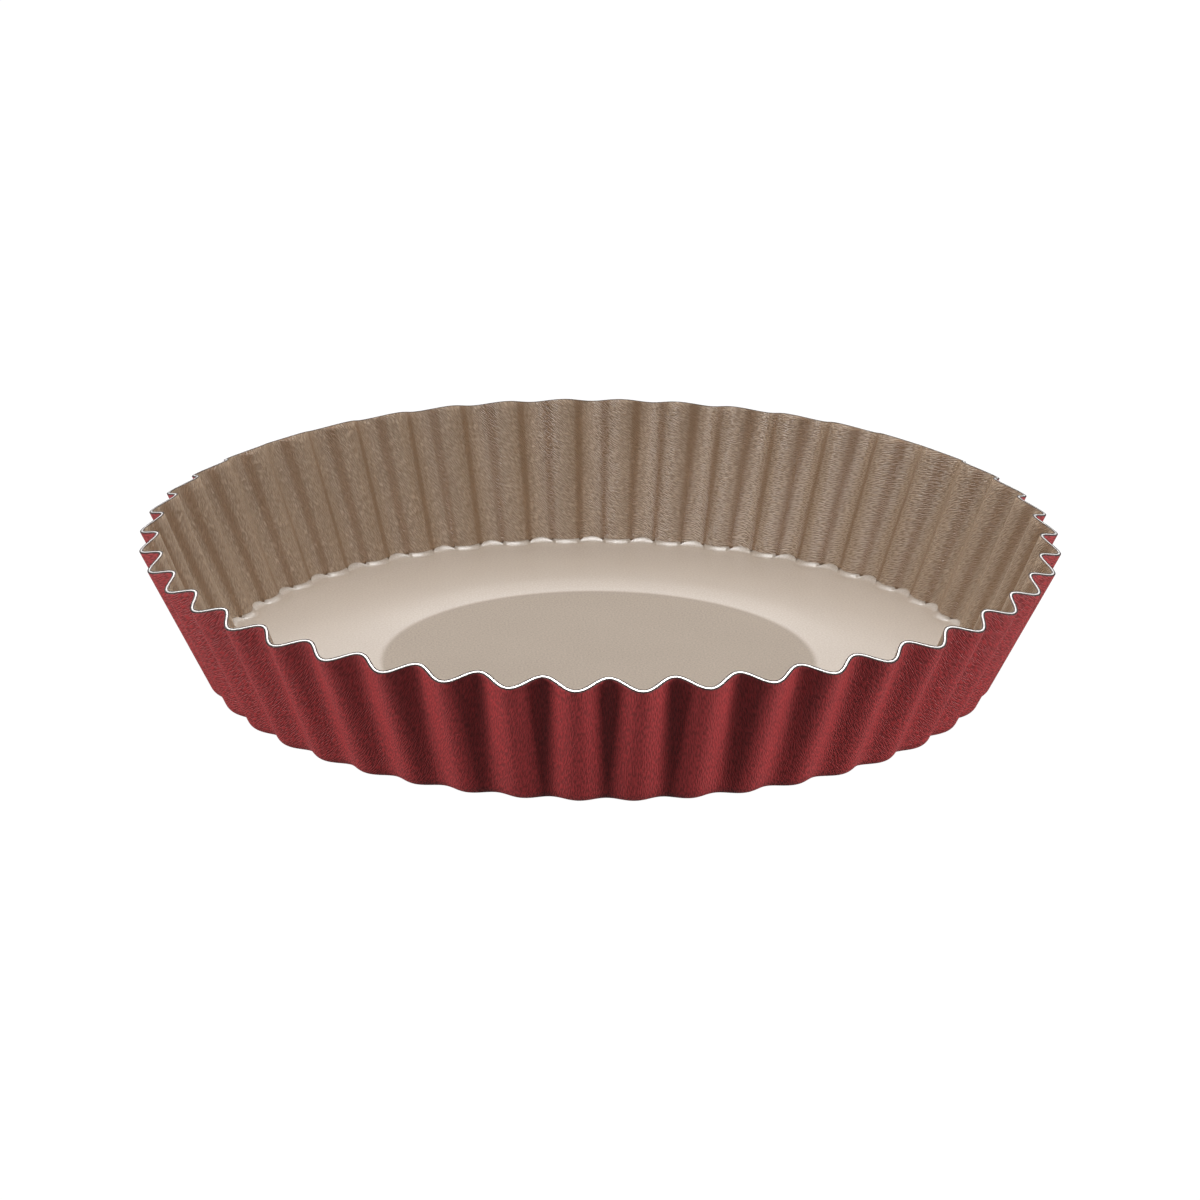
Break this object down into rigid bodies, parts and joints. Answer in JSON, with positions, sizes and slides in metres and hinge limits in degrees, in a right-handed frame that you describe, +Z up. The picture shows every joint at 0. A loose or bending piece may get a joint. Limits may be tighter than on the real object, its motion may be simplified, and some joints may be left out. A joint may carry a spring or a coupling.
{
  "type": "tart pan",
  "caption": "Round fluted tart pan with a leaning wall, a bare rim edge, a fixed base with a shallow pressed disc, a non-stick inside and a red lacquered outside.",
  "frame": {"origin": "middle of the base, on the surface that the pan stands on", "axes": "+Z up along the pan's axis, out of its mouth; +X through the crest of one flute"},
  "size_m": [0.2796, 0.2798, 0.0444],
  "materials": {
    "bare_aluminium": "satin",
    "champagne_nonstick": "satin",
    "red_lacquer": "satin"
  },
  "bodies": {
    "root": {"pan_shell": "bare_aluminium", "inner_coating": "champagne_nonstick", "outer_coating": "red_lacquer"}
  },
  "joints": []
}
